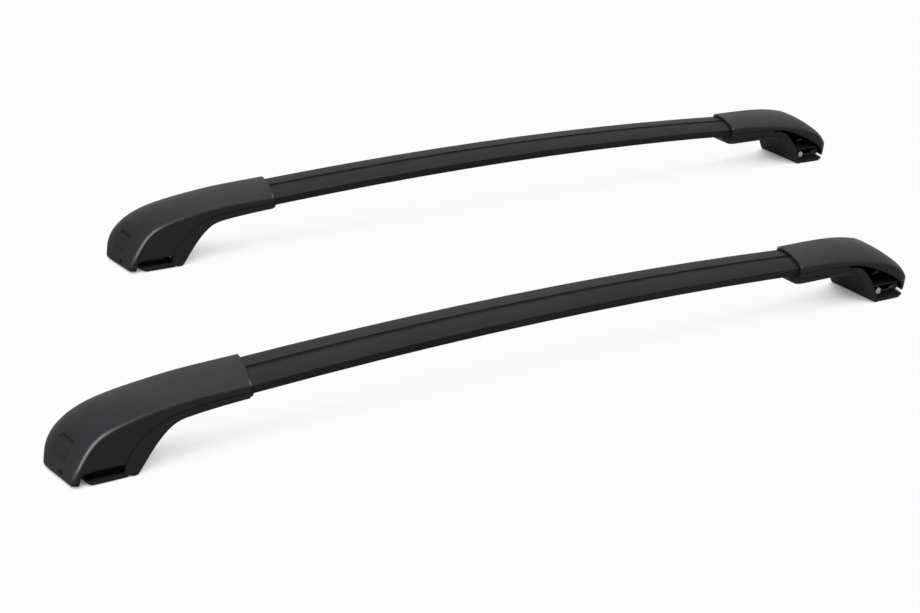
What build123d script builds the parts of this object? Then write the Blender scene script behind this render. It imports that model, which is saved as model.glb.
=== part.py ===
# A pair of roof crossbars: two arched bars, each on two clamp feet of one moulding turned half round.
# One bar and its left foot are modelled about a point on the ground under the bar's left end, +X inward.
# Side A of the foot is its closed side (front, -Y), side B is open. Lengths in millimetres.
from build123d import *
import math
import os

os.makedirs("parts", exist_ok=True)

# Bar: half length, arch radius, height of its top edges at the ends, and its section about those edges
bar_half = 450
arch_r = 7200
edge_end_z = 57.6
bar_w = 55
bar_crown = 3.4
bar_side = 8.2
bar_belly = 14
belly_w = 27
bar_wall = 2.2
slot_w = 7
slot_lip = 2.4
slot_in_w = 15
slot_in_h = 5
strip_drop = 0.9
strip_gap = 0.25

# Layout of the pair: spread across the roof, and how far one bar lies along from the other
bar_spread = 400
bar_stagger = 310

# Foot: outer width, walls and the clearances that its pieces share
foot_w = 70.6
skin = 2.2
seam_gap = 0.5
bar_gap = 0.4
run_gap = 0.05
free_gap = 0.4
round_a = 8
round_b = 30

# Heights of the foot's floors, from the ground up
pad_t = 2.2
base_t = 2.4
mid_z = 18.6
mid_t = 1.8
lip_z = 3
lip_in = 3
lip_t = 6.4

# Clamp: M6 bolt on a slope through a cross nut, seat and head along it
bolt_d = 6
head_d = 10
head_h = 6
hex_af = 5
nut_at = (-67.5, 10.9)
slope = math.radians(19.4)
nut_d = 9
nut_len = 58
jaw_w = 48
jaw_round = 6
seat_at = 31
seat_t = 4
seat_w = 34
seat_h = 13
bolt_tail = 7

# Flap in the outer end, its pin, and the small slot in the lip below it
flap_w = 20
flap_low = 17.5
flap_axis = (-110.5, 30.5)
flap_slit = 1
flap_corner = 3
barrel_r = 1.35
pin_d = 1.4
pin_hold = 3
lug_t = 4
drain_y = -12
drain_z = 7
drain_w = 6
drain_h = 3.6

# Screws that hold the bar down on the arm, from the bar's end inward
screw_d = 5
screw_head_d = 8.6
screw_head_h = 2.8
screw_spots = ((46, 3), (28, 3), (10, 3))
screw_seat = 2.3
screw_bite = 5.5

# Slanted joint: how far the cover reaches along the bar on side A and on side B
joint_a = 58
joint_b = 88
leg_t = 5
web_t = 3
clip_at = 45.4
clip_top = 33.4
clip_t = 2.4
clip_w = 10
barb_out = 7.6
keel_w = 50
keel_round = 6
keel_edge = 50.4
keel_tilt = 0.344

# Values that follow from those above
half_w = bar_w / 2
half_b = belly_w / 2
half_f = foot_w / 2
joint_half = half_w + bar_gap + skin
reach = max(joint_a, joint_b) + 18
edge_mid_z = edge_end_z + arch_r - math.sqrt(arch_r**2 - bar_half**2)
base_top = pad_t + base_t
head_at = seat_at + seat_t


def arch_z(x):
    # Height of the bar's top edges, x from its end
    return edge_mid_z - arch_r + math.sqrt(arch_r**2 - (bar_half - x) ** 2)


joint_z = arch_z(reach)

# Side outlines of the foot, as distance outward from the bar's end and height; the tops start over the bar
crease_a = ((-reach, joint_z + 1.1), (-57, 62.4), (-15, 62), (26, 60.6), (57, 57.3), (79, 53.5), (96, 48.4),
            (107.6, 40.8), (115.2, 30.8), (120.4, 20.4), (123.6, 10.2), (125, lip_z))
shoulder_a = ((-reach, joint_z + 4.3), (-57, 65.6), (-15, 64.8), (26, 62.9), (57, 59.2), (79.5, 54.2), (96.2, 48),
              (107.8, 38.8), (114.4, 29.2), (119.5, 19.2), (123.2, 9.8), (124.8, lip_z))
ridge = ((-reach, joint_z + 6.1), (-57, 67.4), (-15, 66), (26, 63.4), (57, 59.2), (79, 53.8), (95, 46.8),
         (107, 38), (114, 29), (119.4, 19), (123.3, 10), (125, lip_z))
shoulder_b = ((-reach, joint_z + 4.3), (-57, 65.6), (-15, 63.8), (26, 60), (57, 55.4), (78, 50), (94, 43),
              (105.8, 35.6), (113, 27.2), (118.6, 17.6), (122.2, 9), (123.6, lip_z))
crease_b = ((-reach, joint_z + 1.1), (-57, 62.4), (-15, 59.6), (26, 54.8), (57, 49.8), (76, 44.8), (90, 38.6),
            (100.5, 31), (107.5, 23.4), (112.6, 15.4), (116, 8.4), (117.4, lip_z))
seam = ((-reach, joint_z - 5.7), (-57, 56.2), (-15, 55), (2, 53.8), (18, 52), (30, 49.2), (40, 45.4), (50, 40.6),
        (61, 32), (68, 23.6), (72, 14.5))
notch = ((107, 14.5), (117.5, 12.9))
seam_b = ((-reach, joint_z - 5.7), (-57, 56.2), (-15, 55), (2, 53.8), (18, 52), (34, 48.2), (49, 43.4), (70, 35.4),
          (86, 28), (103, 17.6), (ridge[-1][0] - lip_t, lip_z + 1))
s_curve = ((-reach + 8, 51.4), (-66, 50.3), (-41, 49.3), (-20, 48), (0, 46.4), (11, 45.1), (20, 42.8), (29, 37.2),
           (39, 27.2), (48, 14.9), (56, 3))
toe = ((58, 0.6), (63, 0.2), (64.5, pad_t))
keel = ((-92, 50), (-87, 44.5), (-79, 40), (-66, 38.4), (-46, 38.2), (-10, 38), (12, 37.2), (34, 32.6))
# Plan outline: distance outward, and share of the widening from joint to outer end
plan = ((-reach, 0), (-57, 0), (-10, 0.16), (40, 0.55), (75, 0.93), (95, 1))
plan_out = ridge[-1][0] + 1
beyond = ridge[-1][0] + 15


def flip(outline):
    # Outward is minus X
    return [(-a, z) for a, z in outline]


def inset(outline, depth):
    # The outline moved inward by one wall
    pts = flip(outline)
    out = []
    for i, (a, z) in enumerate(pts):
        p = pts[max(i - 1, 0)]
        q = pts[min(i + 1, len(pts) - 1)]
        tx, tz = q[0] - p[0], q[1] - p[1]
        n = math.hypot(tx, tz)
        out.append((a - tz / n * depth, z + tx / n * depth))
    return out


def plan_block(inward):
    # The foot's outline seen from above, as a tall block, all sides moved in by the given depth
    side = [(-a, joint_half + share * (half_f - joint_half) - inward) for a, share in plan]
    front = [(x, -y) for x, y in side]
    end_x = -plan_out + inward
    with BuildPart() as block:
        with BuildSketch(Plane.XY.offset(-20)):
            with BuildLine():
                Spline(*front, tangents=((-1, 0), (-1, 0)))
                Polyline(front[-1], (end_x, front[-1][1]), (end_x, side[-1][1]), side[-1])
                Spline(*side[::-1], tangents=((1, 0), (1, 0)))
                Line(side[0], front[0])
            make_face()
            fillet(vertices().sort_by(Axis.X)[:2].sort_by(Axis.Y)[:1], round_a - inward)
            fillet(vertices().sort_by(Axis.X)[:2].sort_by(Axis.Y)[-1:], round_b - inward)
        extrude(amount=120)
    return block.part


# Everything inward of the slanted joint
with BuildPart() as joint_block:
    slant = (joint_b - joint_a) / foot_w
    with BuildSketch(Plane.XY.offset(-20)):
        with BuildLine():
            Polyline((joint_a - 5 * slant, -half_f - 5), (joint_b + 5 * slant, half_f + 5),
                     (reach + 20, half_f + 5), (reach + 20, -half_f - 5), (joint_a - 5 * slant, -half_f - 5))
        make_face()
    extrude(amount=120)

arch_axis = Axis((bar_half, 0, edge_mid_z - arch_r), (0, 1, 0))
sweep_deg = math.degrees(math.asin(bar_half / arch_r))
end_plane = Plane(
    origin=(0, 0, edge_end_z),
    x_dir=(0, 1, 0),
    z_dir=(math.cos(math.radians(sweep_deg)), 0, math.sin(math.radians(sweep_deg))),
)

# Bar extrusion: crowned top with a T slot, thin sides, flat belly, two side chambers and a middle one
with BuildPart() as bar:
    with BuildSketch(end_plane):
        with BuildLine():
            ThreePointArc((-half_w, 0), (0, bar_crown), (half_w, 0))
            Polyline((half_w, 0), (half_w, -bar_side), (half_b, -bar_belly), (-half_b, -bar_belly),
                     (-half_w, -bar_side), (-half_w, 0))
        make_face()
        with Locations((0, bar_crown - slot_lip / 2)):
            Rectangle(slot_w, slot_lip + 4, mode=Mode.SUBTRACT)
        with Locations((0, bar_crown - slot_lip - slot_in_h / 2)):
            Rectangle(slot_in_w, slot_in_h, mode=Mode.SUBTRACT)
        room_top = bar_crown - slot_lip - slot_in_h - bar_wall
        for side in (-1, 1):
            with BuildLine():
                Polyline(
                    (side * (slot_in_w / 2 + bar_wall), bar_crown - bar_wall - 1),
                    (side * (half_w - bar_wall - 1), -bar_wall + 0.6),
                    (side * (half_w - bar_wall), -bar_side + 1.2),
                    (side * (half_b + 1), -bar_belly + bar_wall + 0.4),
                    (side * (slot_in_w / 2 + bar_wall), -bar_belly + bar_wall),
                    (side * (slot_in_w / 2 + bar_wall), bar_crown - bar_wall - 1),
                )
            make_face(mode=Mode.SUBTRACT)
        with Locations((0, (room_top - bar_belly + bar_wall * 1.6) / 2)):
            Rectangle(slot_in_w, room_top + bar_belly - bar_wall * 1.6, mode=Mode.SUBTRACT)
    revolve(axis=arch_axis, revolution_arc=2 * sweep_deg)

# Rubber strip in the slot: a foot on the slot's floor, a neck up between the lips
strip_top = bar_crown - strip_drop
strip_floor = bar_crown - slot_lip - slot_in_h
with BuildPart() as strip:
    with BuildSketch(end_plane):
        with Locations((0, strip_floor + (slot_in_h - strip_gap) / 2)):
            Rectangle(slot_in_w - 2 * strip_gap, slot_in_h - strip_gap)
        with Locations((0, (strip_floor + strip_top) / 2)):
            Rectangle(slot_w - 2 * strip_gap, strip_top - strip_floor)
    revolve(axis=arch_axis, revolution_arc=2 * sweep_deg)

deep = -14
rib_y = (-half_f - 0.2, -22, 0, 22, half_f + 0.2)
rib_outlines = (crease_a, shoulder_a, ridge, shoulder_b, crease_b)
flap_up = flap_axis[1] + barrel_r + flap_slit

# Opening for the flap, and the flap's own outline, both seen from the outer end
end_view = Plane.YZ.offset(-beyond)
with BuildPart() as flap_room:
    with BuildSketch(end_view):
        with Locations((0, (flap_low - free_gap + flap_up) / 2)):
            Rectangle(flap_w + 2 * free_gap, flap_up - flap_low + free_gap)
        fillet(vertices().sort_by(Axis.Y)[:2], flap_corner)
    extrude(amount=40)
with BuildPart() as flap_block:
    with BuildSketch(end_view):
        with Locations((0, (flap_low + flap_axis[1]) / 2)):
            Rectangle(flap_w, flap_axis[1] - flap_low)
        fillet(vertices().sort_by(Axis.Y)[:2], flap_corner)
    extrude(amount=40)

# Foot cover's shell: a crowned top drawn through five side outlines, its sides cut to the plan outline
with BuildPart() as cover_hollow:
    for y, outline in zip(rib_y, rib_outlines):
        pts = inset(outline, skin)
        pts[-1] = (pts[-1][0] + lip_in, pts[-1][1])
        with BuildSketch(Plane.XZ.offset(-y)):
            with BuildLine():
                Spline(*pts)
                Polyline(pts[-1], (pts[-1][0], deep), (pts[0][0], deep), pts[0])
            make_face()
    loft()
    add(plan_block(skin), mode=Mode.INTERSECT)
with BuildPart() as shell:
    for y, outline in zip(rib_y, rib_outlines):
        pts = flip(outline)
        with BuildSketch(Plane.XZ.offset(-y)):
            with BuildLine():
                Spline(*pts)
                Polyline(pts[-1], (pts[-1][0], deep + 4), (pts[0][0], deep + 4), pts[0])
            make_face()
    loft()
    add(plan_block(0), mode=Mode.INTERSECT)
    add(cover_hollow.part, mode=Mode.SUBTRACT)

# Foot cover: the shell trimmed along the joint, the seam of each side and the lip, with lugs and a snap tab inside
with BuildPart() as cover:
    add(shell.part)
    add(joint_block.part, mode=Mode.SUBTRACT)
    lip_x = -ridge[-1][0] + lip_t
    with BuildSketch(Plane.XZ):
        with BuildLine():
            pts = flip(seam)
            Spline(*pts)
            Polyline(pts[-1], *flip(notch), (lip_x, lip_z), (-beyond, lip_z), (-beyond, -30), (pts[0][0], -30), pts[0])
        make_face()
    extrude(amount=half_f + 5, mode=Mode.SUBTRACT)
    with BuildSketch(Plane.XZ):
        with BuildLine():
            pts = flip(seam_b)
            Spline(*pts)
            Polyline(pts[-1], (lip_x, lip_z), (-beyond, lip_z), (-beyond, -30), (pts[0][0], -30), pts[0])
        make_face()
    extrude(amount=-half_f - 5, mode=Mode.SUBTRACT)
    for side in (-1, 1):
        with Locations((flap_axis[0] + 2.3, side * (flap_w / 2 + free_gap + lug_t / 2), flap_axis[1] - 1.6)):
            Box(4.4, lug_t, 4.6)
    add(flap_room.part, mode=Mode.SUBTRACT)
    with Locations(Location((flap_axis[0], 0, flap_axis[1]), (90, 0, 0))):
        Cylinder(pin_d / 2, flap_w + 2 * free_gap + 2 * pin_hold, mode=Mode.SUBTRACT)
    with Locations((-plan_out, drain_y, drain_z)):
        Box(20, drain_w, drain_h, mode=Mode.SUBTRACT)
    clip_up = ridge[4][1] + 0.6
    with Locations((-clip_at, 0, clip_top - clip_t)):
        Box(clip_t, clip_w, clip_up - clip_top + clip_t, align=(Align.CENTER, Align.CENTER, Align.MIN))
    with Locations((-clip_at - clip_t / 2, 0, clip_top - clip_t)):
        Box(barb_out + clip_t / 2, clip_w, clip_t, align=(Align.MIN, Align.CENTER, Align.MIN))

# Access flap: the piece of the shell left inside the opening, with a barrel along its top edge
with BuildPart() as flap:
    add(shell.part)
    add(flap_block.part, mode=Mode.INTERSECT)
    with Locations(Location((flap_axis[0], 0, flap_axis[1]), (90, 0, 0))):
        Cylinder(barrel_r, flap_w)
        Cylinder(pin_d / 2 + run_gap, flap_w, mode=Mode.SUBTRACT)

# Flap pin: a plain wire held by its ends in the two lugs
with BuildPart() as pin:
    with Locations(Location((flap_axis[0], 0, flap_axis[1]), (90, 0, 0))):
        Cylinder(pin_d / 2, flap_w + 2 * free_gap + 2 * pin_hold)

# Space that the bar takes in the arm: its belly rests on the arm, its sides stand clear
with BuildPart() as bar_room:
    with BuildSketch(end_plane):
        with BuildLine():
            Polyline(
                (-half_w - bar_gap, 24), (half_w + bar_gap, 24), (half_w + bar_gap, -bar_side - bar_gap / 2),
                (half_b, -bar_belly), (-half_b, -bar_belly), (-half_w - bar_gap, -bar_side - bar_gap / 2),
                (-half_w - bar_gap, 24),
            )
        make_face()
    revolve(axis=arch_axis, revolution_arc=sweep_deg)
    extrude(faces().sort_by(Axis.X)[:1], amount=2)

bolt_axis = Plane(
    origin=(nut_at[0], 0, nut_at[1]),
    x_dir=(0, 1, 0),
    z_dir=(-math.cos(slope), 0, math.sin(slope)),
)

# Keel: the rounded lobe that carries the bar's belly along the arm
with BuildPart() as keel_lobe:
    with BuildSketch(Plane.XZ):
        with BuildLine():
            pts = flip(keel)
            Spline(*pts)
            Polyline(pts[-1], (pts[-1][0], ridge[0][1]), (pts[0][0], ridge[0][1]), pts[0])
        make_face()
    extrude(amount=keel_w / 2, both=True)
    fillet(keel_lobe.faces().sort_by(Axis.Y)[-1].edges().sort_by(Axis.Z)[:1], keel_round)
    # Underside slanted up toward side A
    past = keel_w / 2 + 5
    with BuildSketch(Plane.YZ.offset(-keel[-1][0] - 10)):
        with BuildLine():
            Polyline((-past, keel_edge), (past, keel_edge - 2 * past * keel_tilt), (past, 10), (-past, 10),
                     (-past, keel_edge))
        make_face()
    extrude(amount=200, mode=Mode.SUBTRACT)

# Hollow behind the leg's wall, open upward under the cover and open on side B
with BuildPart() as pocket:
    room = [q for q in inset(s_curve, -leg_t) if q[0] <= 1]
    room_end = inset(seam, seam_gap)[-1][0] - 8
    room_up = ridge[0][1] + 5
    with BuildSketch(Plane.XZ) as room_face:
        with BuildLine():
            Spline(*room)
            Polyline(room[-1], (room[-1][0], base_top), (room_end, base_top), (room_end, room_up),
                     (room[0][0], room_up), room[0])
        make_face()
    extrude(room_face.sketch, amount=half_f + 5)
    add(plan_block(web_t), mode=Mode.INTERSECT)
    extrude(room_face.sketch, amount=-half_f - 5)

# Foot bracket: arm with its keel, S-shaped leg, base plate, middle floor and bolt seat in one moulding
with BuildPart() as bracket:
    low = flip(s_curve)
    top = inset(seam, seam_gap)
    with BuildSketch(Plane.XZ):
        with BuildLine():
            Spline(*low)
            Polyline(low[-1], *flip(toe), (top[-1][0], pad_t), top[-1])
            Spline(*top[::-1])
            Line(top[0], low[0])
        make_face()
    extrude(amount=half_f + 1, both=True)
    add(joint_block.part, mode=Mode.SUBTRACT)
    add(keel_lobe.part)
    add(pocket.part, mode=Mode.SUBTRACT)
    base_a = (s_curve[-1][0] + 2, notch[0][0])
    with Locations((-sum(base_a) / 2, 0, pad_t + base_t / 2)):
        Box(base_a[1] - base_a[0], foot_w + 2, base_t)
    mid_a = (s_curve[-2][0] - 2, head_at + 63)
    with Locations((-sum(mid_a) / 2, 0, mid_z + mid_t / 2)):
        Box(mid_a[1] - mid_a[0], 2 * joint_half, mid_t)
    with BuildSketch(bolt_axis.offset(seat_at)):
        with Locations((0, -1.5)):
            Rectangle(seat_w, seat_h)
    extrude(amount=seat_t)
    # Bolt slot in the middle floor, bolt bore in its seat
    with Locations((nut_at[0] - 19, 0, mid_z)):
        Box(19, bolt_d + 3, 10, mode=Mode.SUBTRACT)
    with BuildSketch(bolt_axis.offset(seat_at - 2)):
        Circle(bolt_d / 2 + run_gap)
    extrude(amount=seat_t + 4, mode=Mode.SUBTRACT)
    add(bar_room.part, mode=Mode.SUBTRACT)
    # Window for the cover's barb, and screw holes
    with Locations((-clip_at + barb_out, 0, clip_top - clip_t - free_gap)):
        Box(20, clip_w + 2, clip_t + 2 * free_gap, align=(Align.CENTER, Align.CENTER, Align.MIN), mode=Mode.SUBTRACT)
    for x, y in screw_spots:
        with Locations((x, y, arch_z(x) - bar_belly - screw_seat)):
            Cylinder(screw_d / 2 + run_gap, 20, mode=Mode.SUBTRACT)
            Cylinder(screw_head_d / 2 + free_gap, 12, align=(Align.CENTER, Align.CENTER, Align.MAX), mode=Mode.SUBTRACT)
    add(plan_block(0), mode=Mode.INTERSECT)

# Rubber pad under the base plate, outward of the leg's toe
pad_a = (toe[-1][0] + 1.5, notch[0][0] - 1)
with BuildPart() as pad:
    with BuildSketch():
        with Locations((-sum(pad_a) / 2, 0)):
            Rectangle(pad_a[1] - pad_a[0], foot_w - 4)
        fillet(vertices(), 4)
    extrude(amount=pad_t)

# Clamp jaw: a boss round the cross nut, a tongue along the base and a sloping nose at the rail gap
jaw_z = base_top + 0.3
with BuildPart() as jaw:
    with BuildSketch(Plane.XZ):
        with Locations(nut_at):
            Circle(jaw_round)
        with BuildLine():
            Polyline((nut_at[0], jaw_z), (-106.4, jaw_z), (-113.4, 12.4), (-110.6, 14), (-99, 14), (-93, 8.4),
                     (nut_at[0], 8.4), (nut_at[0], jaw_z))
        make_face()
    extrude(amount=jaw_w / 2, both=True)
    with BuildSketch(Plane.XZ):
        with Locations(nut_at):
            Circle(nut_d / 2)
    extrude(amount=jaw_w, both=True, mode=Mode.SUBTRACT)
    with BuildSketch(bolt_axis.offset(-20)):
        Circle(bolt_d / 2 + free_gap)
    extrude(amount=40, mode=Mode.SUBTRACT)

# Cross nut: a round bar through the jaw, bored for the bolt
with BuildPart() as nut:
    with BuildSketch(Plane.XZ):
        with Locations(nut_at):
            Circle(nut_d / 2)
    extrude(amount=nut_len / 2, both=True)
    chamfer(nut.edges().filter_by(GeomType.CIRCLE), 0.6)
    with BuildSketch(bolt_axis.offset(-20)):
        Circle(bolt_d / 2 + run_gap)
    extrude(amount=40, mode=Mode.SUBTRACT)

# Clamp bolt: plain shank, cap head with a hexagon socket facing the flap
with BuildPart() as bolt:
    with BuildSketch(bolt_axis.offset(-bolt_tail)):
        Circle(bolt_d / 2)
    extrude(amount=bolt_tail + head_at)
    chamfer(bolt.edges().filter_by(GeomType.CIRCLE).sort_by(Axis.X)[-1:], 0.8)
    with BuildSketch(bolt_axis.offset(head_at)):
        Circle(head_d / 2)
    extrude(amount=head_h)
    with BuildSketch(bolt_axis.offset(head_at + head_h)):
        RegularPolygon(hex_af / 2, 6, major_radius=False)
    extrude(amount=-head_h * 0.55, mode=Mode.SUBTRACT)

# Bar screws: three under each arm, heads sunk in the keel, hexagon sockets from below
with BuildPart() as screws:
    for x, y in screw_spots:
        seat_z = arch_z(x) - bar_belly - screw_seat
        with Locations((x, y, seat_z)):
            Cylinder(screw_d / 2, screw_seat + screw_bite, align=(Align.CENTER, Align.CENTER, Align.MIN))
            Cylinder(screw_head_d / 2, screw_head_h, align=(Align.CENTER, Align.CENTER, Align.MAX))
        with BuildSketch(Plane.XY.offset(seat_z - screw_head_h)):
            with Locations((x, y)):
                RegularPolygon(screw_d * 0.3, 6, major_radius=False)
        extrude(amount=screw_head_h * 0.6, mode=Mode.SUBTRACT)

# Screw holes in both ends of the bar
with BuildPart() as bar_holed:
    add(bar.part)
    for x, y in screw_spots:
        for end_x, end_y in ((x, y), (2 * bar_half - x, -y)):
            with Locations((end_x, end_y, arch_z(x) - bar_belly - 1)):
                Cylinder(screw_d / 2, screw_bite + 1.6, align=(Align.CENTER, Align.CENTER, Align.MIN), mode=Mode.SUBTRACT)

# Two bars, one ahead and along from the other; each right foot is the left one turned half round
for bar_name, way in (("front", -1), ("rear", 1)):
    middle = Pos(way * bar_stagger / 2, way * bar_spread / 2, 0)
    for piece, name in ((bar_holed, "bar"), (strip, "slot_strip")):
        placed = middle * Pos(-bar_half, 0, 0) * piece.part
        placed.label = bar_name + "_" + name
        export_step(placed, "parts/" + placed.label + ".step")
    for end_name, turn in (("left", 0), ("right", 180)):
        for piece, name in ((cover, "foot_cover"), (bracket, "foot_bracket"), (pad, "foot_pad"), (jaw, "clamp_jaw"),
                            (nut, "cross_nut"), (bolt, "clamp_bolt"), (flap, "access_flap"), (pin, "flap_pin"),
                            (screws, "bar_screws")):
            placed = middle * Rot(0, 0, turn) * Pos(-bar_half, 0, 0) * piece.part
            placed.label = bar_name + "_" + end_name + "_" + name
            export_step(placed, "parts/" + placed.label + ".step")
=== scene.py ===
import math

import bmesh
import bpy
from mathutils import Matrix, Vector


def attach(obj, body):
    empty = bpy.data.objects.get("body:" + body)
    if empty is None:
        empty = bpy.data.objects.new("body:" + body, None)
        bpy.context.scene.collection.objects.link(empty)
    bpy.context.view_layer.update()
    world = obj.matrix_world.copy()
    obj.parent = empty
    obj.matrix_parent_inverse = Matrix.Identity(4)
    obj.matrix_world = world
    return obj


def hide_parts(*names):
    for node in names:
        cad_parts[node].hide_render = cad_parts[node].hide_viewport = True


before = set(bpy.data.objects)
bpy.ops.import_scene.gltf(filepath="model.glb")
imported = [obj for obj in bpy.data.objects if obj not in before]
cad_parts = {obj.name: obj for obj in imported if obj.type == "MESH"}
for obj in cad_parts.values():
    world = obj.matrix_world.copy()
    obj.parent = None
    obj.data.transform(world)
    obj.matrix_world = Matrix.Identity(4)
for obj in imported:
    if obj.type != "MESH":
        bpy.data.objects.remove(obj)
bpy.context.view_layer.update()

# Bars: arched aluminium extrusions with a T-slot along the crowned top, cut to length and bent.
# Matt black anodised: faint die lines run along them, the skin has a fine etched grain,
# and the long corners are broken by about a millimetre, where the coat is a little paler.


class Wire:
    """One socket of a material's node tree; arithmetic on it adds Math nodes."""

    def __init__(self, tree, socket):
        self.tree = tree
        self.socket = socket

    def add(self, kind, plugs=None, settings=None, out=None):
        node = self.tree.nodes.new(kind)
        for key, value in (settings or {}).items():
            setattr(node, key, value)
        for key, value in (plugs or {}).items():
            target = next(s for s in node.inputs if key in (s.identifier, s.name))
            if isinstance(value, Wire):
                self.tree.links.new(value.socket, target)
            else:
                target.default_value = value
        if not node.outputs:
            return None
        source = next((s for s in node.outputs if out in (s.identifier, s.name)), node.outputs[0])
        return Wire(self.tree, source)

    def maths(self, operation, first, second):
        return self.add("ShaderNodeMath", {"Value": first, "Value_001": second}, {"operation": operation})

    def __add__(self, other):
        return self.maths("ADD", self, other)

    def __radd__(self, other):
        return self.maths("ADD", other, self)

    def __sub__(self, other):
        return self.maths("SUBTRACT", self, other)

    def __rsub__(self, other):
        return self.maths("SUBTRACT", other, self)

    def __mul__(self, other):
        return self.maths("MULTIPLY", self, other)

    def __rmul__(self, other):
        return self.maths("MULTIPLY", other, self)

    def __pow__(self, other):
        return self.maths("POWER", self, other)


def start_finish(name):
    # A bare material, and the wire of the place on the part in metres
    material = bpy.data.materials.new(name)
    material.use_nodes = True
    material.node_tree.nodes.clear()
    tree = material.node_tree
    return material, Wire(tree, tree.nodes.new("ShaderNodeTexCoord").outputs["Object"])


def stretched(place, scale):
    ends = {"Vector": place, "Vector_001": scale}
    return place.add("ShaderNodeVectorMath", ends, {"operation": "MULTIPLY"})


def grain(place, size, detail=2.0, rough=0.5):
    # Noise whose lumps are about the given size in metres
    ends = {"Vector": place, "Scale": 1 / size, "Detail": detail, "Roughness": rough}
    return place.add("ShaderNodeTexNoise", ends)


def span(value, low, high, to_low=0.0, to_high=1.0):
    ends = {"Value": value, "From Min": low, "From Max": high, "To Min": to_low, "To Max": to_high}
    return value.add("ShaderNodeMapRange", ends, {"clamp": True})


def tint(share, low, high):
    # From one colour towards another, where the first may be a tint already
    start = low if isinstance(low, Wire) else (*low, 1)
    ends = {"Factor_Float": share, "A_Color": start, "B_Color": (*high, 1)}
    return share.add("ShaderNodeMix", ends, {"data_type": "RGBA"}, "Result_Color")


def soft_corner(place, radius):
    # A corner rounded in the shading only
    return place.add("ShaderNodeBevel", {"Radius": radius}, {"samples": 6})


def corner_mask(rounded):
    # 1 along the corners that soft_corner rounds, 0 on flat faces
    flat = rounded.add("ShaderNodeNewGeometry", out="Normal")
    ends = {"Vector": rounded, "Vector_001": flat}
    facing = rounded.add("ShaderNodeVectorMath", ends, {"operation": "DOT_PRODUCT"}, "Value")
    return span(1 - facing, 0.004, 0.12)


def relief(height, depth, strength, normal):
    ends = {"Height": height, "Distance": depth, "Strength": strength, "Normal": normal}
    return height.add("ShaderNodeBump", ends)


def close_finish(place, **sockets):
    named = {key.replace("_", " "): value for key, value in sockets.items()}
    shader = place.add("ShaderNodeBsdfPrincipled", named)
    place.add("ShaderNodeOutputMaterial", {"Surface": shader})


def dress(material, *names):
    for name in names:
        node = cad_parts[name]
        node.data.materials.clear()
        node.data.materials.append(material)


bar_dark = (0.0115, 0.0115, 0.012)
bar_pale = (0.0165, 0.0165, 0.017)
bar_worn = (0.035, 0.035, 0.037)
bar_black, place = start_finish("matt_black_anodised_bar")
rounded = soft_corner(place, radius=0.0011)
edge = corner_mask(rounded)
die_lines = grain(stretched(place, (0.02, 1.0, 1.0)), size=0.0009, detail=3.0)
etch = grain(place, size=0.00035, rough=0.6)
cloud = grain(place, size=0.06, detail=3.0)
tone = tint(span(cloud + die_lines * 0.6, 0.6, 1.0), bar_dark, bar_pale)
close_finish(
    place,
    Base_Color=tint(edge * 0.55, tone, bar_worn),
    Roughness=span(etch * 0.6 + die_lines * 0.4, 0.3, 0.7, 0.5, 0.6),
    Specular_IOR_Level=0.06,
    Normal=relief(die_lines * 0.5 + etch, depth=0.00006, strength=0.35, normal=rounded),
)
dress(bar_black, "front_bar", "rear_bar")

# Slot strips: extruded rubber, pushed into the T-slot from its end to stop wind noise.
# Dull charcoal with a soft drag grain along the length.
strip_dark = (0.006, 0.006, 0.0062)
strip_pale = (0.011, 0.011, 0.0112)
strip_black, place = start_finish("slot_strip_rubber")
rounded = soft_corner(place, radius=0.0005)
edge = corner_mask(rounded)
drag = grain(stretched(place, (0.05, 1.0, 1.0)), size=0.0007)
bloom = grain(place, size=0.02, detail=4.0)
close_finish(
    place,
    Base_Color=tint(span(bloom + edge * 0.3, 0.35, 0.95), strip_dark, strip_pale),
    Roughness=span(bloom, 0.3, 0.7, 0.66, 0.82),
    Specular_IOR_Level=0.08,
    Normal=relief(drag, depth=0.00008, strength=0.4, normal=rounded),
)
dress(strip_black, "front_slot_strip", "rear_slot_strip")

# Foot brackets: glass-filled nylon mouldings that carry the bar on a keel and stand on the rail.
# Spark-eroded mould grain, a little duller at the edges and darkened along every corner as painted shade for
# the seam against the cover, with flow marks down the leg.
# The keel's tip is cut off slantwise, so that on the closed side it ends with the cover's joint.
foot_names = ("front_left", "front_right", "rear_left", "rear_right")
bar_places = {"front": Vector((-0.155, -0.200, 0)), "rear": Vector((0.155, 0.200, 0))}
bar_half = 0.450
weld_gap = 0.000001
on_plane = 0.0000001


def stand_of(foot):
    # The middle of the foot's bar, and the way along the bar that leads out to this foot
    bar_name, end_name = foot.split("_")
    return bar_places[bar_name], -1 if end_name == "left" else 1


def blank_of(name):
    # A piece's solid as a mesh to work on, its faces welded along their edges
    blank = bmesh.new()
    blank.from_mesh(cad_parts[name].data)
    bmesh.ops.remove_doubles(blank, verts=blank.verts, dist=weld_gap)
    return blank


def worked_piece(blank, name, material):
    mesh = bpy.data.meshes.new(name)
    blank.to_mesh(mesh)
    blank.free()
    mesh.materials.append(material)
    piece = bpy.data.objects.new(name, mesh)
    bpy.context.scene.collection.objects.link(piece)
    return piece


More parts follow.
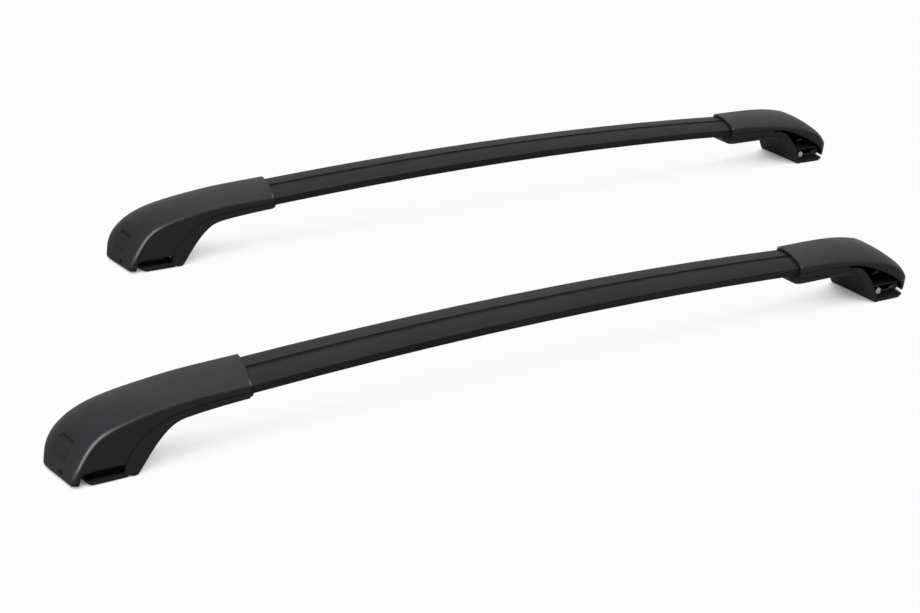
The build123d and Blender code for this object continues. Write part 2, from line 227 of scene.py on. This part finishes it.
bracket_dark = (0.0142, 0.0142, 0.015)
bracket_pale = (0.0195, 0.0195, 0.0205)
bracket_seam_shade = (0.004, 0.004, 0.0042)
bracket_spark = {"Scale": 1500.0, "Randomness": 1.0}
bracket_black, place = start_finish("glass_filled_bracket")
rounded = soft_corner(place, radius=0.0009)
edge = corner_mask(rounded)
spark = place.add("ShaderNodeTexVoronoi", {"Vector": place, **bracket_spark}, out="Distance")
fibre = grain(stretched(place, (1.0, 1.0, 0.25)), size=0.0012, detail=3.0)
flow = grain(stretched(place, (1.0, 0.4, 1.0)), size=0.03, detail=3.0)
tone = tint(span(flow + fibre * 0.4, 0.5, 0.95), bracket_dark, bracket_pale)
close_finish(
    place,
    # Painted shade: every corner is darkened to draw the shaded seam line between bracket and cover.
    Base_Color=tint(edge * 0.5, tone, bracket_seam_shade),
    Roughness=span(fibre + edge * 0.2, 0.3, 0.8, 0.58, 0.7),
    Specular_IOR_Level=0.1,
    Normal=relief(spark * 0.7 + fibre * 0.6, depth=0.00007, strength=0.4, normal=rounded),
)
# The slant cut's corner, inward from the bar's end and toward the closed side, and the side it takes away
tip_corner = Vector((0.0665, -0.025, 0))
tip_side = Vector((0.77, -0.638, 0))
sharp_angle = math.radians(28)
for foot in foot_names:
    middle, outward = stand_of(foot)
    bar_end = middle + Vector((outward * bar_half, 0, 0))
    blank = blank_of(foot + "_foot_bracket")
    cut = bmesh.ops.bisect_plane(
        blank,
        geom=[*blank.verts, *blank.edges, *blank.faces],
        dist=on_plane,
        plane_co=bar_end - outward * tip_corner,
        plane_no=-outward * tip_side,
        clear_outer=True,
    )
    rim = [part for part in cut["geom_cut"] if isinstance(part, bmesh.types.BMEdge)]
    bmesh.ops.holes_fill(blank, edges=rim)
    for side in blank.faces:
        side.smooth = True
    for line in blank.edges:
        line.smooth = line.calc_face_angle(0) < sharp_angle
    bracket = worked_piece(blank, foot + "_moulded_bracket", bracket_black)
    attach(bracket, "pair")
    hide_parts(foot + "_foot_bracket")

# Bar screws: three zinc-plated screws under each arm, driven up through the keel into the bar.
# Bright bluish plating with turned rings on the heads and dull spots.
screw_dull = (0.46, 0.47, 0.48)
screw_bright = (0.66, 0.66, 0.65)
screw_zinc, place = start_finish("zinc_plated_screws")
rounded = soft_corner(place, radius=0.0003)
rings = grain(stretched(place, (1.0, 1.0, 6.0)), size=0.0006)
spots = grain(place, size=0.002, detail=4.0)
close_finish(
    place,
    Base_Color=tint(span(spots, 0.35, 0.7), screw_dull, screw_bright),
    Metallic=1.0,
    Roughness=span(spots * 0.7 + rings * 0.3, 0.35, 0.65, 0.26, 0.44),
    Normal=relief(rings, depth=0.00003, strength=0.35, normal=rounded),
)
dress(screw_zinc, *(foot + "_bar_screws" for foot in foot_names))

# Foot pads: die-cut rubber sheet glued under each base plate to spare the rail's paint.
# Dull black with a ribbed tread across and a dusty bloom.
pad_dark = (0.006, 0.006, 0.006)
pad_dusty = (0.011, 0.011, 0.0108)
pad_ribs = {"Scale": 55.0, "Distortion": 0.2}
pad_black, place = start_finish("pad_rubber")
rounded = soft_corner(place, radius=0.0006)
rib_way = {"wave_type": "BANDS", "bands_direction": "X"}
tread = place.add("ShaderNodeTexWave", {"Vector": place, **pad_ribs}, rib_way, "Fac")
bloom = grain(place, size=0.008, detail=5.0)
close_finish(
    place,
    Base_Color=tint(span(bloom, 0.3, 0.75), pad_dark, pad_dusty),
    Roughness=span(bloom, 0.3, 0.7, 0.72, 0.88),
    Specular_IOR_Level=0.08,
    Normal=relief(tread, depth=0.0003, strength=0.5, normal=rounded),
)
dress(pad_black, *(foot + "_foot_pad" for foot in foot_names))

# Clamp jaws: pressed steel with a sloping nose whose edges the press has rounded, dip-painted black.
# The paint is satin with a slight orange peel, and bare steel shows where corners have rubbed.
jaw_black = (0.006, 0.006, 0.0065)
jaw_bare = (0.36, 0.35, 0.34)
jaw_paint, place = start_finish("dip_painted_jaw")
rounded = soft_corner(place, radius=0.0006)
edge = corner_mask(rounded)
peel = grain(place, size=0.0022)
rub = span(edge * 1.2 + grain(place, size=0.0016, detail=3.0), 1.15, 1.5)
close_finish(
    place,
    Base_Color=tint(rub, jaw_black, jaw_bare),
    Metallic=rub,
    Roughness=span(peel + rub * 0.2, 0.35, 0.8, 0.4, 0.55),
    Specular_IOR_Level=0.12,
    Normal=relief(peel, depth=0.00012, strength=0.3, normal=rounded),
)
nose_from = 0.098
nose_round = 0.0009
nose_angle = 0.5
for foot in foot_names:
    middle, outward = stand_of(foot)
    blank = blank_of(foot + "_clamp_jaw")
    nose_edges = []
    for line in blank.edges:
        reach = min(outward * (corner.co.x - middle.x) for corner in line.verts)
        if line.calc_face_angle(0) > nose_angle and reach > bar_half + nose_from:
            nose_edges.append(line)
    bmesh.ops.bevel(blank, geom=nose_edges, offset=nose_round, segments=2, profile=0.5, affect="EDGES")
    jaw = worked_piece(blank, foot + "_pressed_jaw", jaw_paint)
    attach(jaw, foot + "_jaw")
    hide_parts(foot + "_clamp_jaw")

# Cross nuts: round steel bars turned to length, bored and tapped across for the clamp bolt.
# Zinc plated, with lathe lines round them and the brightest plating at their turned edges.
nut_dull = (0.24, 0.24, 0.235)
nut_bright = (0.38, 0.38, 0.37)
nut_zinc, place = start_finish("zinc_plated_nut")
rounded = soft_corner(place, radius=0.0004)
edge = corner_mask(rounded)
lathe = grain(stretched(place, (0.15, 4.0, 0.15)), size=0.0008, detail=3.0)
cast = grain(place, size=0.004, detail=3.0)
close_finish(
    place,
    Base_Color=tint(span(cast + edge * 0.3, 0.35, 0.8), nut_dull, nut_bright),
    Metallic=1.0,
    Roughness=span(lathe, 0.3, 0.7, 0.22, 0.4),
    Normal=relief(lathe, depth=0.00004, strength=0.4, normal=rounded),
)
dress(nut_zinc, *(foot + "_cross_nut" for foot in foot_names))

# Clamp bolts: zinc-plated M6 cap screws that draw the jaw out along a slope of 19.4 degrees.
# The shank's thread of one millimetre pitch is a relief along each bolt's own axis.
bolt_dull = (0.30, 0.30, 0.295)
bolt_bright = (0.60, 0.60, 0.585)
bolt_slope = math.radians(19.4)
thread_pitch = 0.001
nut_height = 0.0109
nut_reach = 0.5175
bolt_head_from = 0.035
plain_neck = 0.006
thread_fade = 0.0002
for foot in foot_names:
    middle, outward = stand_of(foot)
    along = Vector((outward * math.cos(bolt_slope), 0, math.sin(bolt_slope)))
    nut_centre = middle + Vector((outward * nut_reach, 0, nut_height))
    bolt_zinc, place = start_finish("zinc_plated_bolt_" + foot)
    rounded = soft_corner(place, radius=0.0003)
    ends = {"Vector": place, "Vector_001": along}
    depth = place.add("ShaderNodeVectorMath", ends, {"operation": "DOT_PRODUCT"}, "Value")
    depth = depth - nut_centre.dot(along)
    thread_end = bolt_head_from - plain_neck
    shank = span(depth, thread_end - thread_fade, thread_end, 1.0, 0.0)
    turns = depth * (1 / thread_pitch)
    thread = turns.maths("PINGPONG", turns, 1.0) * shank
    cast = grain(place, size=0.003, detail=4.0)
    close_finish(
        place,
        Base_Color=tint(span(cast - thread * 0.3, 0.1, 0.7), bolt_dull, bolt_bright),
        Metallic=1.0,
        Roughness=span(cast, 0.3, 0.7, 0.28, 0.46),
        Normal=relief(thread, depth=0.0005, strength=0.8, normal=rounded),
    )
    dress(bolt_zinc, foot + "_clamp_bolt")

# Foot covers: injection-moulded shells, clipped over the bracket and the bar's end by a snap tab.
# Fine even mould grain, slightly bluish black, with a painted highlight along the crease that runs round the
# top, strongest toward the outer end, and painted shade on the corners that face down.
cover_dark = (0.0156, 0.0159, 0.0174)
cover_pale = (0.021, 0.0214, 0.0232)
cover_shade = (0.003, 0.003, 0.003)
cover_crease_highlight = (0.42, 0.425, 0.44)
cover_spark = {"Scale": 1900.0, "Randomness": 1.0}
crease_highlight_from = 0.022
crease_highlight_full = 0.026


def part_along(vector, axis):
    return vector.add("ShaderNodeSeparateXYZ", {"Vector": vector}, out=axis)


cover_black, place = start_finish("fine_grained_cover")
rounded = soft_corner(place, radius=0.0048)
edge = corner_mask(rounded)
spark = place.add("ShaderNodeTexVoronoi", {"Vector": place, **cover_spark}, out="Distance")
mist = grain(place, size=0.0009, detail=3.0, rough=0.6)
cloud = grain(place, size=0.045, detail=3.0)
turned_out = part_along(rounded, "X")
turned_aside = part_along(rounded, "Y")
turned_up = part_along(rounded, "Z")
sideways = part_along(place, "Y")
from_middle = (sideways * sideways) ** 0.5 - bar_places["rear"].y
# Painted highlight: the crease's corner near the side is tinted pale where its rounded normal turns up and
# outward, as if catching the key light.
crease_highlight = edge * span(from_middle * from_middle, crease_highlight_from ** 2, crease_highlight_full ** 2)
crease_highlight = crease_highlight * span(turned_aside * turned_aside, 0.03, 0.14)
crease_highlight = crease_highlight * span(turned_up, 0.1, 0.35)
crease_highlight = crease_highlight * span(turned_out * turned_out, 0.0, 0.16, 0.12, 0.95)
# Painted shade: corners whose rounded normal faces down are darkened toward cover_shade.
shaded = edge * span(turned_up, -0.5, -0.1, 0.85, 0.0)
tone = tint(span(cloud + mist * 0.5, 0.5, 1.0), cover_dark, cover_pale)
tone = tint(shaded, tone, cover_shade)
close_finish(
    place,
    Base_Color=tint(crease_highlight, tone, cover_crease_highlight),
    Roughness=span(mist + edge * 0.1, 0.3, 0.75, 0.44, 0.54),
    Specular_IOR_Level=0.075,
    Normal=relief(spark + mist * 0.6, depth=0.00006, strength=0.4, normal=rounded),
)
dress(cover_black, *(foot + "_foot_cover" for foot in foot_names))

# Access flaps: small doors moulded from the same plastic, hung by their top edge over the bolt's head.
# Their own mould has a slightly finer grain, handling has smoothed them in patches, and their corners are
# tinted paler as a painted highlight.
flap_dark = (0.0147, 0.015, 0.0164)
flap_pale = (0.02, 0.0204, 0.0222)
flap_edge_highlight = (0.03, 0.0305, 0.0325)
flap_black, place = start_finish("fine_grained_flap")
rounded = soft_corner(place, radius=0.0006)
edge = corner_mask(rounded)
mist = grain(place, size=0.0007, detail=3.0, rough=0.6)
handled = grain(place, size=0.006, detail=3.0)
tone = tint(span(mist * 0.6 + handled * 0.6, 0.4, 0.8), flap_dark, flap_pale)
close_finish(
    place,
    # Painted highlight: the flap's corners are tinted paler, as if catching the light.
    Base_Color=tint(edge * 0.5, tone, flap_edge_highlight),
    Roughness=span(handled, 0.3, 0.7, 0.48, 0.6),
    Specular_IOR_Level=0.075,
    Normal=relief(mist, depth=0.00005, strength=0.4, normal=rounded),
)
dress(flap_black, *(foot + "_access_flap" for foot in foot_names))

# Flap pins: bright drawn wire that the flap turns on, held by its ends in the cover's two lugs.
# Straight draw lines along the wire, slightly tarnished.
pin_tarnished = (0.40, 0.395, 0.38)
pin_bright = (0.58, 0.58, 0.57)
pin_steel, place = start_finish("drawn_wire_pin")
rounded = soft_corner(place, radius=0.0002)
draw = grain(stretched(place, (3.0, 0.08, 3.0)), size=0.0006)
tarnish = grain(place, size=0.003, detail=3.0)
close_finish(
    place,
    Base_Color=tint(span(tarnish, 0.35, 0.7), pin_tarnished, pin_bright),
    Metallic=1.0,
    Roughness=span(draw, 0.3, 0.7, 0.24, 0.42),
    Normal=relief(draw, depth=0.00003, strength=0.3, normal=rounded),
)
dress(pin_steel, *(foot + "_flap_pin" for foot in foot_names))

# Floor: one wide pale sheet under the pads.
# The camera sees it as studio white, and it keeps the soft shadow of the feet.
floor_half = 14.0
floor_grey = (0.5, 0.5, 0.5, 1)
floor_glow = (1, 1, 1, 1)
white_share = 0.955
hollow_reach = 0.09


def in_sight(tree):
    # 1 for rays from the lens, off shiny faces and through clear ones, 0 for light that only fills
    rays = tree.nodes.new("ShaderNodeLightPath").outputs
    from_lens = Wire(tree, rays["Is Camera Ray"])
    return from_lens + Wire(tree, rays["Is Glossy Ray"]) + Wire(tree, rays["Is Transmission Ray"])


floor_mesh = bpy.data.meshes.new("studio_floor")
floor_corners = [(x * floor_half, y * floor_half, 0) for x, y in ((-1, -1), (1, -1), (1, 1), (-1, 1))]
floor_mesh.from_pydata(floor_corners, [], [(0, 1, 2, 3)])
floor = bpy.data.objects.new("studio_floor", floor_mesh)
bpy.context.scene.collection.objects.link(floor)
floor_white, place = start_finish("studio_floor_white")
matt = place.add("ShaderNodeBsdfDiffuse", {"Color": floor_grey})
glow = place.add("ShaderNodeEmission", {"Color": floor_glow, "Strength": 1.0})
open_air = place.add("ShaderNodeAmbientOcclusion", {"Distance": hollow_reach}, {"samples": 8}, "AO")
white = span(in_sight(place.tree), 0.0, 1.0, 0.0, white_share) * span(open_air, 0.06, 0.5)
sheet = place.add("ShaderNodeMixShader", {"Fac": white, "Shader": matt, "Shader_001": glow})
place.add("ShaderNodeOutputMaterial", {"Surface": sheet})
floor_mesh.materials.append(floor_white)

# Studio: a white surround that lights gently, a soft box high at the near left, a weak one at the back right.
# Tops come out nearly twice as bright as the sides, and the near feet's outer ends catch the key light.
surround_white = (1, 1, 1, 1)
surround_fill = 0.2
world = bpy.data.worlds.new("white_studio")
bpy.context.scene.world = world
world.use_nodes = True
world.node_tree.nodes.clear()
seen = in_sight(world.node_tree)
strength = span(seen, 0.0, 1.0, surround_fill, 1.0)
sky = seen.add("ShaderNodeBackground", {"Color": surround_white, "Strength": strength})
seen.add("ShaderNodeOutputWorld", {"Surface": sky})
for name, spot, aim, width, watts in (
    ("near_left_box", (-2.1, -0.75, 1.95), (-0.2, 0.0, 0.05), 1.1, 68.0),
    ("back_box", (0.9, 1.2, 2.2), (0.1, 0.0, 0.05), 1.4, 17.0),
):
    lamp = bpy.data.lights.new(name, "AREA")
    lamp.shape = "SQUARE"
    lamp.size = width
    lamp.energy = watts
    box = bpy.data.objects.new(name, lamp)
    box.location = spot
    box.rotation_euler = (Vector(aim) - Vector(spot)).to_track_quat("-Z", "Y").to_euler()
    bpy.context.scene.collection.objects.link(box)

# Camera: a long lens from the front left, looking down on the pair as it stands.
# The photograph joins two views of one bar, so this one camera is the nearest to both.
view_azimuth = math.radians(-43.0)
view_elevation = math.radians(22.0)
view_roll = math.radians(-8.0)
view_distance = 2.3
image_width = 920
focal_px = 2200
film_width = 36.0
aim = Vector((-0.199, -0.119, 0.040))
level = math.cos(view_elevation)
ahead = Vector((-math.sin(view_azimuth) * level, math.cos(view_azimuth) * level, -math.sin(view_elevation)))
right = ahead.cross(Vector((0, 0, 1))).normalized()
up = right.cross(ahead)
rolled_right = right * math.cos(view_roll) - up * math.sin(view_roll)
rolled_up = right * math.sin(view_roll) + up * math.cos(view_roll)
lens = bpy.data.cameras.new("studio_camera")
lens.sensor_fit = "HORIZONTAL"
lens.sensor_width = film_width
lens.lens = focal_px / image_width * film_width
camera = bpy.data.objects.new("studio_camera", lens)
stand = Matrix((rolled_right, rolled_up, -ahead)).transposed().to_4x4()
stand.translation = aim - ahead * view_distance
camera.matrix_world = stand
bpy.context.scene.collection.objects.link(camera)
bpy.context.scene.camera = camera
bpy.context.scene.view_settings.view_transform = "Standard"
